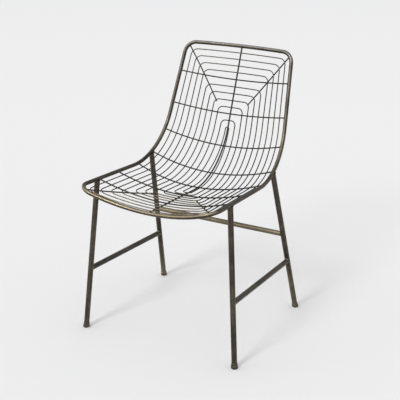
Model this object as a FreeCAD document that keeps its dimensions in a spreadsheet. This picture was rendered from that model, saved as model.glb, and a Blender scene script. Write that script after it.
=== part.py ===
"""Side chair: a dished shell of nested wire loops in a bent bar rim, on four splayed tube legs.

The sitter faces -Y, +Z is up and the floor is Z = 0. Left is -X and right is +X, as seen by
someone who faces the chair. The shell is described by two rows of control points, one along the
rim's side rail and one along the dish's centre line. Every wire between them is placed by how
far out it lies, so a change to either row carries all the wires with it.
"""
import FreeCAD, Part
import Sketcher
import math
import os

V = FreeCAD.Vector
DOC = FreeCAD.newDocument("SideChair")

SIZES = (
    ("rim_bar_dia", 12.0, "round bar that is bent into the rim"),
    ("rim_front_corner_radius", 38.0, "bend of the rim at each front corner"),
    ("rim_top_corner_radius", 38.0, "bend of the rim at each top corner"),
    ("front_half_width", 224.6, "centre line to side rail at the front corner"),
    ("bend_half_width", 214.6, "centre line to side rail where seat meets back"),
    ("top_half_width", 184.0, "centre line to side rail at the top corner"),
    ("rail_front_y", -300.4, "front corner of the side rail"),
    ("rail_front_z", 488.8, "front corner of the side rail"),
    ("rail_bend_y", 139.9, "seat line meets back line on the side rail"),
    ("rail_bend_z", 463.2, "seat line meets back line on the side rail"),
    ("rail_top_y", 269.6, "top corner of the side rail"),
    ("rail_top_z", 815.3, "top corner of the side rail"),
    ("rail_bend_radius", 198.6, "bend of the side rail"),
    ("dish_front_y", -272.7, "front of the dish's centre line"),
    ("dish_front_z", 445.9, "front of the dish's centre line"),
    ("dish_bend_y", 146.3, "seat line meets back line on the centre line"),
    ("dish_bend_z", 425.9, "seat line meets back line on the centre line"),
    ("dish_top_y", 291.5, "top of the dish's centre line"),
    ("dish_top_z", 813.9, "top of the dish's centre line"),
    ("dish_bend_radius", 216.8, "bend of the centre line"),
    ("rim_front_drop", 4.9, "rim's front middle under the wires' centre line"),
    ("loop_wire_dia", 3.2, "nested loops"),
    ("outer_loop_corner_radius", 22.5, "bend of the outer loop at its corners"),
    ("inner_loop_corner_radius", 14.0, "bend of the inner loop at its corners"),
    ("side_first_gap", 22.0, "side rail to the outer loop"),
    ("front_inner_half_width", 19.6, "centre line to the inner loop's side, run on to the front"),
    ("bend_inner_half_width", 9.1, "centre line to the inner loop's side at the bend"),
    ("top_inner_half_width", 0.0, "centre line to the inner loop's side, run on to the top"),
    ("least_bow", 0.5, "a loop's end that bows by less is made straight"),
    ("chord_sag", 0.6, "how far a thin wire's chords may lie inside its bends"),
    ("front_first_gap", 11.5, "rim to the outer loop at the front"),
    ("front_outer_pitch", 20.8, "loop to loop outside the first cross wire of the seat"),
    ("front_outer_cross_gap", 41.8, "loop to loop across the first cross wire of the seat"),
    ("front_pitch", 17.8, "loop to loop along the rest of the seat"),
    ("front_inner_cross_gap", 27.0, "loop to loop across the second cross wire of the seat"),
    ("top_first_gap", 21.7, "rim to the outer loop at the top"),
    ("top_outer_pitch", 20.8, "loop to loop outside the first cross wire of the back"),
    ("top_outer_cross_gap", 45.4, "loop to loop across the first cross wire of the back"),
    ("top_pitch", 21.8, "loop to loop down the rest of the back"),
    ("top_inner_cross_gap", 41.6, "loop to loop across the second cross wire of the back"),
    ("cross_wire_dia", 3.8, "cross wires on the sitter's side of the loops"),
    ("corner_wire_dia", 3.8, "diagonal wires behind the loops' corners"),
    ("corner_wire_tail", 4.0, "diagonal wire beyond the last loop that it carries"),
    ("spine_wire_dia", 4.8, "centre wire behind the loops"),
    ("layer_gap", 0.3, "clearance between two layers of wire"),
    ("leg_tube_dia", 14.5, "leg tube, outside"),
    ("leg_tube_wall", 1.8, "leg tube wall"),
    ("leg_cope_depth", 3.0, "how far a leg's end wraps up round the rim"),
    ("front_foot_half_width", 260.3, "centre line to front foot"),
    ("front_foot_y", -234.5, "front foot"),
    ("rear_foot_half_width", 249.6, "centre line to rear foot"),
    ("rear_foot_y", 212.4, "rear foot"),
    ("stretcher_dia", 11.0, "stretcher bars"),
    ("side_stretcher_front_z", 197.1, "side stretcher's height at the front leg"),
    ("side_stretcher_rear_z", 177.7, "side stretcher's height at the rear leg"),
    ("rear_stretcher_z", 275.5, "height of the stretcher between the rear legs"),
    ("shoe_length", 13.0, "flared shoe that is brazed round the leg's end"),
    ("shoe_wall", 0.9, "shoe's wall at its upper lip"),
    ("shoe_foot_dia", 21.0, "shoe at its foot"),
    ("shoe_flare_radius", 26.0, "hollow flare between the shoe's lip and its foot"),
    ("glide_thickness", 3.0, "nylon glide under the shoe"),
    ("glide_dia", 19.0, "nylon glide"),
    ("glide_stem_length", 16.0, "stem of the glide in the leg tube"),
    ("glide_stem_clearance", 0.15, "stem in the leg tube's bore"),
    ("seat_cross_wire_front_on_rail", 101.5, "cross wire's end, along the side rail from its front"),
    ("seat_cross_wire_middle_on_rail", 198.5, "cross wire's end, along the side rail"),
    ("seat_cross_wire_rear_on_rail", 309.3, "cross wire's end, along the side rail"),
    ("bend_cross_wire_on_rail", 392.4, "cross wire's end, along the side rail"),
    ("back_cross_wire_lower_on_rail", 486.8, "cross wire's end, along the side rail"),
    ("back_cross_wire_middle_on_rail", 578.2, "cross wire's end, along the side rail"),
    ("back_cross_wire_upper_on_rail", 682.3, "cross wire's end, along the side rail"),
    ("seat_cross_wire_rear_on_dish", 266.1, "cross wire's middle, along the dish's centre line"),
    ("bend_cross_wire_on_dish", 363.4, "cross wire's middle, along the dish's centre line"),
    ("back_cross_wire_lower_on_dish", 470.6, "cross wire's middle, along the dish's centre line"),
)
COUNTS = (
    ("outer_loops", 4, "loops outside the first cross wire at each end of the shell"),
    ("middle_loops", 4, "loops between the first cross wire and the second"),
    ("inner_loops", 2, "loops inside the second cross wire"),
    ("rim_sides", 10, "flats on the rim bar's section"),
    ("spine_sides", 8, "flats on the spine wire's section"),
    ("wire_sides", 6, "flats on a thin wire's section"),
    ("cross_wire_chords", 10, "chords in a cross wire"),
    ("corner_wire_chords", 4, "chords in a corner wire"),
    ("last_cornered_loop", 7, "the corner wires end behind this loop's corners, counted from the rim"),
    ("glide_stem_sides", 6, "flats on a glide's stem"),
)

# The largest share of a loop's own half width that the bend at its corner may take up.
CORNER_SHARE = 0.8

# Where a cross wire lies in a gap between two loops, as a share of the gap from its outer loop.
CROSSING_SHARES = {"front": 0.25, "top": 0.5}

# The share of a chord that each half of a loop has next to the centre plane.
PLANE_CHORD_SHARE = 0.5


def write_sheet():
    """Put every driving size and count in one sheet, a row each."""
    sheet = DOC.addObject("Spreadsheet::Sheet", "Sizes")
    for row, (alias, value, note) in enumerate(SIZES + COUNTS, start=1):
        sheet.set(f"A{row}", alias)
        sheet.set(f"B{row}", str(value))
        sheet.setAlias(f"B{row}", alias)
        sheet.set(f"C{row}", note)
    DOC.recompute()
    return sheet


SHEET = write_sheet()


def size(alias):
    return float(SHEET.get(alias))


def count(alias):
    return int(SHEET.get(alias))


def unit(vector):
    return V(vector) / vector.Length


def toward(start, end, distance):
    """The point that lies a distance from start, on the way to end."""
    return start + unit(end - start) * distance


def turn_at(before, corner, after):
    return unit(corner - before).getAngle(unit(after - corner))


def rounded_path(points, radii):
    """Join points with straight lines and tangent arcs, and give each arc's middle point.

    The smallest arc comes first. A later one shrinks to the room that its neighbours leave, and
    one with no radius fills it.
    """
    lengths = [(b - a).Length for a, b in zip(points, points[1:])]
    half_turns = [turn_at(*points[i - 1 : i + 2]) / 2 for i in range(1, len(points) - 1)]
    reaches = [math.inf if radius is None else radius for radius in radii]
    wanted = [radius * math.tan(half) for radius, half in zip(reaches, half_turns)]
    cuts = [0.0] * len(points)
    for cut, i in sorted(zip(wanted, range(1, len(points) - 1))):
        cuts[i] = min(cut, lengths[i - 1] - cuts[i - 1], lengths[i] - cuts[i + 1])
    edges = []
    middles = []
    last = points[0]
    for i in range(1, len(points) - 1):
        radius = cuts[i] / math.tan(half_turns[i - 1])
        start = toward(points[i], points[i - 1], cuts[i])
        end = toward(points[i], points[i + 1], cuts[i])
        rise = radius / math.cos(half_turns[i - 1]) - radius
        middle = toward(points[i], (start + end) / 2, rise)
        if (start - last).Length > Part.Precision.confusion():
            edges.append(Part.LineSegment(last, start).toShape())
        edges.append(Part.Arc(start, middle, end).toShape())
        middles.append(middle)
        last = end
    if (points[-1] - last).Length > Part.Precision.confusion():
        edges.append(Part.LineSegment(last, points[-1]).toShape())
    return Part.Wire(edges), middles


def along(wire, distance):
    """The point and direction at a distance along a wire."""
    for edge in wire.OrderedEdges:
        if distance <= edge.Length:
            parameter = edge.getParameterByLength(distance)
            return edge.valueAt(parameter), unit(edge.tangentAt(parameter))
        distance -= edge.Length
    raise ValueError("the distance is longer than the wire")


def chorded(wire):
    """The same path drawn in chords, so a thin wire has few faces and all of them flat.

    The path starts and ends on the centre plane, where half a chord lies level across it. A line
    that is shorter than the wire is thick is left out.
    """
    edges = [edge for edge in wire.OrderedEdges if edge.Length > size("loop_wire_dia")]
    points = [edges[0].valueAt(edges[0].FirstParameter)]
    for index, edge in enumerate(edges):
        steps, lead, tail = 1, 0, 0
        if edge.Curve.TypeId == "Part::GeomCircle":
            chord_turn = 2 * math.acos(1 - size("chord_sag") / edge.Curve.Radius)
            steps = math.ceil(edge.Length / edge.Curve.Radius / chord_turn)
            lead = PLANE_CHORD_SHARE if index == 0 else 0
            tail = PLANE_CHORD_SHARE if index == len(edges) - 1 else 0
        for step in range(1, steps + 1):
            share = min((step - lead) / (steps - lead - tail), 1)
            points.append(edge.valueAt(edge.getParameterByLength(edge.Length * share)))
    for end, inner in ((0, 1), (-1, -2)):
        points[end] = V(0, points[inner].y, points[inner].z)
    return Part.Wire(Part.makePolygon(points).Edges)


class Row:
    """One line of the shell from its front to its top, at given half widths.

    A row lies on the dish: its share of the way from the centre line to the side rail is the
    square of its share of the half width, so the dish is a shallow parabola across.
    """

    ENDS = ("front", "bend", "top")

    def __init__(self, widths):
        self.points = []
        for end, width in zip(self.ENDS, widths):
            self.points.append(self.place(end, width))
        rise = (widths[1] / size("bend_half_width")) ** 2
        self.radius = size("dish_bend_radius")
        self.radius += (size("rail_bend_radius") - size("dish_bend_radius")) * rise

    def place(self, end, width):
        rise = (width / size(f"{end}_half_width")) ** 2
        centre = V(0, size(f"dish_{end}_y"), size(f"dish_{end}_z"))
        rail = V(0, size(f"rail_{end}_y"), size(f"rail_{end}_z"))
        return centre + (rail - centre) * rise + V(width, 0, 0)

    def wire(self):
        return rounded_path(self.points, [self.radius])[0]


RAIL = Row([size(f"{end}_half_width") for end in Row.ENDS])
DISH = Row([0, 0, 0])


def ladder(end):
    """How far in from the rim each loop and each of the two cross wires lies, at one end."""
    outer, middle, inner = count("outer_loops"), count("middle_loops"), count("inner_loops")
    steps = [size(f"{end}_outer_pitch")] * (outer - 1)
    steps += [size(f"{end}_outer_cross_gap")]
    steps += [size(f"{end}_pitch")] * (middle - 1)
    steps += [size(f"{end}_inner_cross_gap")]
    steps += [size(f"{end}_pitch")] * (inner - 1)
    loops = [size(f"{end}_first_gap")]
    for step in steps:
        loops.append(loops[-1] + step)
    share = CROSSING_SHARES[end]
    gaps = (outer, outer + middle)
    crossings = [loops[i - 1] + (loops[i] - loops[i - 1]) * share for i in gaps]
    return loops, crossings


def loop_width(end, share):
    """Half width at one end of a loop's row, by its share of the way to the inner loop."""
    outer_width = size(f"{end}_half_width") - size("side_first_gap")
    return outer_width + (size(f"{end}_inner_half_width") - outer_width) * share


class Loop:
    """The control points of one closed wire, given for its +X half."""

    def __init__(self, row, insets, corner_radii, front_drop):
        bend = row.points[1]
        drop = V(0, 0, front_drop)
        front_points, front_radii = self.half_end(row, 0, insets[0], corner_radii[0], drop)
        top_points, top_radii = self.half_end(row, 2, insets[1], corner_radii[1], V())
        self.points = front_points + [bend] + top_points[::-1]
        self.bend_index = len(front_points)
        radii = front_radii + [row.radius] + top_radii[::-1]
        self.path, middles = rounded_path(self.points, radii)
        self.corners = {
            "front": self.corner_place(row, 0, middles[self.bend_index - 2]),
            "top": self.corner_place(row, 2, middles[self.bend_index]),
        }

    @staticmethod
    def half_end(row, index, inset, radius, drop):
        """The points of one end from its middle to its corner, and the bends at the inner ones.

        The bow's point lies half way to the corner's bend, so its arc fills all that is left.
        """
        bend = row.points[1]
        corner = toward(row.points[index], bend, inset)
        middle = toward(DISH.points[index], DISH.points[1], inset) - drop
        tangent = math.tan(turn_at(middle, corner, bend) / 2)
        cut = min(radius * tangent, corner.x * CORNER_SHARE)
        if (corner - middle).cross(V(1, 0, 0)).Length < size("least_bow"):
            middle = V(0, corner.y, corner.z)
            return [middle, corner], [cut / tangent]
        bow = middle + V((corner.x - cut) / 2, 0, 0)
        return [middle, bow, corner], [None, cut / tangent]

    @staticmethod
    def corner_place(row, index, middle):
        """The middle of a corner's bend, and how far it lies from its end of the row."""
        end = row.points[index]
        return middle, (middle - end).dot(unit(row.points[1] - end))


RIM_RADII = (size("rim_front_corner_radius"), size("rim_top_corner_radius"))
RIM = Loop(RAIL, (0, 0), RIM_RADII, size("rim_front_drop"))
FRONT_LADDER, FRONT_CROSSINGS = ladder("front")
TOP_LADDER, TOP_CROSSINGS = ladder("top")
LOOPS = []
for loop_index, loop_insets in enumerate(zip(FRONT_LADDER, TOP_LADDER)):
    inward = loop_index / (len(FRONT_LADDER) - 1)
    loop_row = Row([loop_width(end, inward) for end in Row.ENDS])
    loop_bend = size("outer_loop_corner_radius")
    loop_bend += (size("inner_loop_corner_radius") - loop_bend) * inward
    LOOPS.append(Loop(loop_row, loop_insets, (loop_bend, loop_bend), 0))


def path_object(name, wire):
    path = DOC.addObject("Part::Feature", name)
    path.Shape = wire
    return path


def flat_sided_section(name, path, dia_alias, sides_alias):
    """A regular section whose flats lie a diameter apart."""
    section = DOC.addObject("Part::RegularPolygon", name)
    section.setExpression("Polygon", f"Sizes.{sides_alias}")
    section.setExpression("Circumradius", f"Sizes.{dia_alias} / 2 / cos(180 deg / Sizes.{sides_alias})")
    start, direction = along(path.Shape, 0)
    section.Placement = FreeCAD.Placement(start, FreeCAD.Rotation(V(0, 0, 1), direction))
    return section


def swept(name, section, path):
    sweep = DOC.addObject("Part::Sweep", name)
    sweep.Sections = [section]
    sweep.Spine = (path, [f"Edge{i + 1}" for i in range(len(path.Shape.Edges))])
    sweep.Solid = True
    sweep.Transition = "Right corner"
    return sweep


def mirrored(name, source):
    mirror = DOC.addObject("Part::Mirroring", name)
    mirror.Source = source
    mirror.Base = V(0, 0, 0)
    mirror.Normal = V(1, 0, 0)
    return mirror


def combined(kind, name, base, tool):
    result = DOC.addObject(kind, name)
    result.Base = base
    result.Tool = tool
    return result


NODES = []


def keep(name, piece):
    piece.Label = name
    NODES.append(piece)
    return piece


def closed_wire(name, wire, dia_alias, sides_alias):
    """Sweep the +X half of a loop, mirror it and join the two at the centre plane."""
    path = path_object(f"{name}_path", wire)
    section = flat_sided_section(f"{name}_section", path, dia_alias, sides_alias)
    half = swept(f"{name}_half", section, path)
    other = mirrored(f"{name}_other_half", half)
    return keep(name, combined("Part::Fuse", f"{name}_solid", half, other))


def open_wire(name, wire, dia_alias, sides_alias, rim):
    """Sweep a wire whose ends are coped to the rim."""
    path = path_object(f"{name}_path", wire)
    section = flat_sided_section(f"{name}_section", path, dia_alias, sides_alias)
    bar = swept(f"{name}_bar", section, path)
    return keep(name, combined("Part::Cut", f"{name}_solid", bar, rim))


def layer_offset(dia_alias):
    """Centre to centre of a loop wire and the wire that is welded across it."""
    return (size("loop_wire_dia") + size(dia_alias)) / 2 + size("layer_gap")


def make_rim():
    return closed_wire("rim", RIM.path, "rim_bar_dia", "rim_sides")


def make_loops():
    for number, loop in enumerate(LOOPS, start=1):
        closed_wire(f"loop_wire_{number:02d}", chorded(loop.path), "loop_wire_dia", "wire_sides")


def shell_point(rail_place, dish_place, share, height):
    """A point of the dish at a share of the half width, raised by a height toward the sitter."""
    rail, rail_direction = along(RAIL.wire(), rail_place)
    centre, centre_direction = along(DISH.wire(), dish_place)
    rise = rail - centre
    bend = rail_direction - centre_direction
    point = centre + V(rail.x * share, rise.y * share**2, rise.z * share**2)
    across = V(rail.x, 2 * rise.y * share, 2 * rise.z * share)
    down_row = centre_direction + V(bend.x * share, bend.y * share**2, bend.z * share**2)
    return point + unit(across.cross(down_row)) * height


def cross_wire_places():
    """Each cross wire's name with its places along the side rail and along the dish."""
    length = DISH.wire().Length
    on_dish = {
        "seat_cross_wire_front": FRONT_CROSSINGS[0],
        "seat_cross_wire_middle": FRONT_CROSSINGS[1],
        "seat_cross_wire_rear": size("seat_cross_wire_rear_on_dish"),
        "bend_cross_wire": size("bend_cross_wire_on_dish"),
        "back_cross_wire_lower": size("back_cross_wire_lower_on_dish"),
        "back_cross_wire_middle": length - TOP_CROSSINGS[1],
        "back_cross_wire_upper": length - TOP_CROSSINGS[0],
    }
    return [(name, size(f"{name}_on_rail"), place) for name, place in on_dish.items()]


def make_cross_wires(rim):
    """Each follows the dish from rail to rail, on the sitter's side of the loops."""
    height = layer_offset("cross_wire_dia")
    chords = count("cross_wire_chords")
    for name, rail_place, dish_place in cross_wire_places():
        shares = [2 * step / chords - 1 for step in range(chords + 1)]
        points = [shell_point(rail_place, dish_place, share, height) for share in shares]
        open_wire(name, Part.makePolygon(points), "cross_wire_dia", "wire_sides", rim)


def make_spine(rim):
    """The centre wire follows the dish one layer behind the loops."""
    offset = layer_offset("spine_wire_dia")
    front, bend, top = DISH.points
    seat_down = unit(unit(bend - front).cross(V(1, 0, 0)))
    back_down = unit(unit(top - bend).cross(V(1, 0, 0)))
    corner = (seat_down + back_down) * (offset / (1 + seat_down.dot(back_down)))
    points = [front + seat_down * offset, bend + corner, top + back_down * offset]
    wire = rounded_path(points, [DISH.radius + offset])[0]
    open_wire("spine_wire", wire, "spine_wire_dia", "spine_sides", rim)


def make_corner_wires(rim):
    """Behind the loops' corners, straight as seen square to the shell, from the rim's corners.

    The rim's bend may stray from the dish, so a wire starts on the bend and joins the dish by its end.
    """
    height = -layer_offset("corner_wire_dia")
    chords = count("corner_wire_chords")
    last_loop = LOOPS[count("last_cornered_loop") - 1]
    rail_length = RAIL.wire().Length
    dish_length = DISH.wire().Length
    for end in ("front", "top"):
        start, start_place = RIM.corners[end]
        stop, stop_place = last_loop.corners[end]
        reach = math.hypot(stop.x - start.x, stop_place - start_place)
        overrun = 1 + size("corner_wire_tail") / reach
        points = []
        for step in range(chords + 1):
            share = step / chords * overrun
            width = start.x + (stop.x - start.x) * share
            place = start_place + (stop_place - start_place) * share
            places = (place, place) if end == "front" else (rail_length - place, dish_length - place)
            width_share = width / along(RAIL.wire(), places[0])[0].x
            if step == 0:
                stray = start - shell_point(*places, width_share, 0)
            points.append(shell_point(*places, width_share, height) + stray * (1 - step / chords))
        for side, sign in (("left", -1), ("right", 1)):
            wire = Part.makePolygon([V(sign * p.x, p.y, p.z) for p in points])
            open_wire(f"{end}_corner_wire_{side}", wire, "corner_wire_dia", "wire_sides", rim)


def cylinder(name, start, end, radius_expression):
    """A cylinder from one point to another, its radius bound to the sheet."""
    bar = DOC.addObject("Part::Cylinder", name)
    bar.setExpression("Radius", radius_expression)
    bar.Height = (end - start).Length
    bar.Placement = FreeCAD.Placement(start, FreeCAD.Rotation(V(0, 0, 1), end - start))
    return bar


def floor_block():
    """All that lies under the glides' upper faces, round every foot."""
    block = DOC.addObject("Part::Box", "floor_block")
    reach = size("front_foot_half_width") + size("rear_foot_half_width")
    depth = size("glide_thickness") + size("leg_tube_dia") + size("shoe_foot_dia")
    block.Length = 2 * reach
    block.Width = 2 * reach
    block.Height = depth
    block.Placement.Base = V(-reach, -reach, size("glide_thickness") - depth)
    return block


class Leg:
    """One leg's centre line, from its foot on the floor to the side rail's centre."""

    def __init__(self, end, side, sign):
        place = {"front": "seat_cross_wire_front", "rear": "bend_cross_wire"}[end]
        rail = along(RAIL.wire(), size(f"{place}_on_rail"))[0]
        self.name = f"{end}_{side}"
        self.foot = V(sign * size(f"{end}_foot_half_width"), size(f"{end}_foot_y"), 0)
        self.rail = V(sign * rail.x, rail.y, rail.z)
        self.up = unit(self.rail - self.foot)

    def at_height(self, height):
        return self.foot + self.up * (height / self.up.z)

    def placement(self, height):
        return FreeCAD.Placement(self.at_height(height), FreeCAD.Rotation(V(0, 0, 1), self.up))


LEGS = [Leg(end, side, sign) for end in ("front", "rear") for side, sign in (("left", -1), ("right", 1))]


def make_leg(leg, rim, floor):
    """A tube with a flared shoe, cut level above its glide and coped to the side rail."""
    name = f"{leg.name}_leg"
    start = leg.foot - leg.up * size("leg_tube_dia")
    end = leg.rail - leg.up * (size("rim_bar_dia") / 2 - size("leg_cope_depth"))
    outside = cylinder(f"{name}_outside", start, end, "Sizes.leg_tube_dia / 2")
    bore = cylinder(f"{name}_bore", start, end, "Sizes.leg_tube_dia / 2 - Sizes.leg_tube_wall")
    shod = combined("Part::Fuse", f"{name}_shod", outside, make_shoe(leg))
    tube = combined("Part::Cut", f"{name}_tube", shod, bore)
    level = combined("Part::Cut", f"{name}_level", tube, floor)
    keep(name, combined("Part::Cut", f"{name}_solid", level, rim))
    return outside


def make_stretcher(name, start, end, legs):
    """A bar between two legs, its ends coped to them."""
    bar = cylinder(f"{name}_bar", start, end, "Sizes.stretcher_dia / 2")
    first = combined("Part::Cut", f"{name}_first_end", bar, legs[0])
    keep(name, combined("Part::Cut", f"{name}_solid", first, legs[1]))


def make_stretchers(outsides):
    front_left, front_right, rear_left, rear_right = LEGS
    front_z = size("side_stretcher_front_z")
    rear_z = size("side_stretcher_rear_z")
    for side, front, rear in (("left", front_left, rear_left), ("right", front_right, rear_right)):
        ends = [outsides[front.name], outsides[rear.name]]
        make_stretcher(f"side_stretcher_{side}", front.at_height(front_z), rear.at_height(rear_z), ends)
    height = size("rear_stretcher_z")
    ends = [outsides[rear_left.name], outsides[rear_right.name]]
    make_stretcher("rear_stretcher", rear_left.at_height(height), rear_right.at_height(height), ends)


def flare_arc(foot, lip, radius):
    """The hollow arc from the lip to the foot of the flare, its centre up and outside."""
    chord = foot - lip
    away = unit(V(-chord.y, chord.x, 0))
    centre = (foot + lip) / 2 + away * math.sqrt(radius**2 - (chord.Length / 2) ** 2)
    angles = [math.atan2(p.y - centre.y, p.x - centre.x) % math.tau for p in (lip, foot)]
    return Part.ArcOfCircle(Part.Circle(centre, V(0, 0, 1), radius), *angles)


def shoe_profile(body):
    """Half section of the shoe, a sleeve with a hollow flare down to its foot, fully bound."""
    sketch = body.newObject("Sketcher::SketchObject", f"{body.Name}_sketch")
    plane = [f for f in body.Origin.OriginFeatures if f.Role == "XZ_Plane"][0]
    sketch.AttachmentSupport = [(plane, "")]
    sketch.MapMode = "FlatFace"
    tube = size("leg_tube_dia") / 2
    foot = size("shoe_foot_dia") / 2
    band = size("glide_thickness")
    inner_base = V(0, -foot, 0)
    outer_base = V(foot, -foot, 0)
    flare_foot = V(foot, band, 0)
    flare_lip = V(tube + size("shoe_wall"), size("shoe_length"), 0)
    inner_lip = V(0, size("shoe_length"), 0)
    base = sketch.addGeometry(Part.LineSegment(inner_base, outer_base), False)
    side = sketch.addGeometry(Part.LineSegment(outer_base, flare_foot), False)
    flare = sketch.addGeometry(flare_arc(flare_foot, flare_lip, size("shoe_flare_radius")), False)
    lip = sketch.addGeometry(Part.LineSegment(flare_lip, inner_lip), False)
    axis = sketch.addGeometry(Part.LineSegment(inner_lip, inner_base), False)
    joints = ((base, 2, side, 1), (side, 2, flare, 2), (flare, 1, lip, 1), (lip, 2, axis, 1))
    for joint in joints + ((axis, 2, base, 1),):
        sketch.addConstraint(Sketcher.Constraint("Coincident", *joint))
    for line in (base, lip):
        sketch.addConstraint(Sketcher.Constraint("Horizontal", line))
    sketch.addConstraint(Sketcher.Constraint("Vertical", side))
    sketch.addConstraint(Sketcher.Constraint("PointOnObject", axis, 1, -2))
    sketch.addConstraint(Sketcher.Constraint("PointOnObject", axis, 2, -2))
    bound = (
        ("foot", ("DistanceX", -1, 1, side, 1, foot), "Sizes.shoe_foot_dia / 2"),
        ("lip", ("DistanceX", -1, 1, lip, 1, flare_lip.x), "Sizes.leg_tube_dia / 2 + Sizes.shoe_wall"),
        ("top", ("DistanceY", -1, 1, lip, 1, flare_lip.y), "Sizes.shoe_length"),
        ("band", ("DistanceY", -1, 1, side, 2, band), "Sizes.glide_thickness"),
        ("base", ("DistanceY", side, 1, -1, 1, foot), "Sizes.shoe_foot_dia / 2"),
        ("flare", ("Radius", flare, size("shoe_flare_radius")), "Sizes.shoe_flare_radius"),
    )
    for name, constraint, expression in bound:
        index = sketch.addConstraint(Sketcher.Constraint(*constraint))
        sketch.renameConstraint(index, name)
        sketch.setExpression(f"Constraints.{name}", expression)
    return sketch


def make_shoe(leg):
    """The flared shoe as a solid of revolution round the leg, to be bored with its tube."""
    body = DOC.addObject("PartDesign::Body", f"{leg.name}_shoe")
    sketch = shoe_profile(body)
    turned = body.newObject("PartDesign::Revolution", f"{leg.name}_shoe_turned")
    turned.Profile = sketch
    turned.ReferenceAxis = (sketch, ["V_Axis"])
    turned.Angle = 360
    body.Placement = leg.placement(size("glide_thickness"))
    return body


def make_glide(leg):
    """A nylon disc flat on the floor, with a flat-sided stem up the leg's bore."""
    name = f"{leg.name}_glide"
    thickness = V(0, 0, size("glide_thickness"))
    ground = leg.at_height(0)
    disc = cylinder(f"{name}_disc", ground, ground + thickness, "Sizes.glide_dia / 2")
    stem = DOC.addObject("Part::Prism", f"{name}_stem")
    stem.setExpression("Polygon", "Sizes.glide_stem_sides")
    bore_radius = "Sizes.leg_tube_dia / 2 - Sizes.leg_tube_wall"
    stem.setExpression("Circumradius", f"{bore_radius} - Sizes.glide_stem_clearance")
    stem.setExpression("Height", "Sizes.glide_stem_length + Sizes.glide_thickness / 2")
    stem.Placement = leg.placement(size("glide_thickness") / 2)
    keep(name, combined("Part::Fuse", f"{name}_solid", disc, stem))


def check_and_write():
    for item in DOC.Objects:
        if any(word in item.State for word in ("Invalid", "Error")):
            raise RuntimeError(f"{item.Name} failed")
    os.makedirs("parts", exist_ok=True)
    for piece in NODES:
        shape = piece.Shape
        if shape.isNull() or not shape.isValid() or len(shape.Solids) != 1:
            raise RuntimeError(f"{piece.Label} isn't one valid solid")
        shape.exportStep(f"parts/{piece.Label}.step")
        print(f"{piece.Label} {shape.Volume:.1f} {len(shape.Faces)}")


def main():
    rim = make_rim()
    make_loops()
    make_cross_wires(rim)
    make_spine(rim)
    make_corner_wires(rim)
    floor = floor_block()
    outsides = {leg.name: make_leg(leg, rim, floor) for leg in LEGS}
    make_stretchers(outsides)
    for leg in LEGS:
        make_glide(leg)
    DOC.recompute()
    check_and_write()


main()
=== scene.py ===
"""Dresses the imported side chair: round bars and wires, welds, aged bronze and a pale studio.

The shell follows the same law as its solids. Two rows of points, one along the side rail and one
along the dish's centre line, place every wire by how far out it lies.
"""

import math

import bmesh
import bpy
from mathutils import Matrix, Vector, kdtree, noise
from mathutils.geometry import intersect_line_line


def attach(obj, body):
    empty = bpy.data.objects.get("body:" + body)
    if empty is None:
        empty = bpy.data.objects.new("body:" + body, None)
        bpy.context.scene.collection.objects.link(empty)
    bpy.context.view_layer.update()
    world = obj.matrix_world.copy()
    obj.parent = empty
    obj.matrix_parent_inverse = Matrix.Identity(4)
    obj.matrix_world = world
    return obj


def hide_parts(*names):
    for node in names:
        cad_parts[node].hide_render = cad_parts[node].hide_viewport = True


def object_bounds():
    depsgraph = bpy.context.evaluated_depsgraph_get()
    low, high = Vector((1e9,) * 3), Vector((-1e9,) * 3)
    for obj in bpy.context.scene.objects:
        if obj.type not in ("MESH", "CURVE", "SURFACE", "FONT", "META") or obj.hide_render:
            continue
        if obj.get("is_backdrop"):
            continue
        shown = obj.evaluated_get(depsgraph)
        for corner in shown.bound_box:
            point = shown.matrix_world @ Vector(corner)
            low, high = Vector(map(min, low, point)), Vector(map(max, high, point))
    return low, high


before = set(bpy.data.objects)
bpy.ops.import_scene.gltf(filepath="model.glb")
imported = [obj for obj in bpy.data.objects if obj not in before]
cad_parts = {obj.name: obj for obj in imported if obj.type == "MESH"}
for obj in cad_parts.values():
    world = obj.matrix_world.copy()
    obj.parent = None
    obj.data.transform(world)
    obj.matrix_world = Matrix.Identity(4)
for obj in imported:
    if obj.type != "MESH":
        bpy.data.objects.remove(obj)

bl_info = {
    "name": "Wire Side Chair",
    "version": (1, 0, 0),
    "blender": (4, 5, 0),
    "location": "View3D > Sidebar > Chair",
    "description": "Dresses the packed frame of a wire side chair",
    "category": "Object",
}

BODY = "root"
CAD_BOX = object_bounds()
MM = 0.001
RIGHT = Vector((1, 0, 0))
UP = Vector((0, 0, 1))
# A heading whose rise is more than this counts as steep.
STEEP = 0.9
SIDES = (("left", -1), ("right", 1))


def millimetres(label, description, value):
    """A length that a user may change, given in millimetres and kept in metres."""
    return bpy.props.FloatProperty(
        name=label, description=description, default=value * MM, unit="LENGTH", precision=5
    )


def angle(label, description, degrees):
    """An angle that a user may change."""
    return bpy.props.FloatProperty(
        name=label, description=description, default=math.radians(degrees), unit="ROTATION"
    )


def strength(label, description, value):
    """A light's strength that a user may change."""
    return bpy.props.FloatProperty(name=label, description=description, default=value, min=0)


def tint(label, description, value):
    """A linear colour that a user may change."""
    return bpy.props.FloatVectorProperty(
        name=label, description=description, default=value, subtype="COLOR", size=3, min=0, max=1
    )


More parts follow.
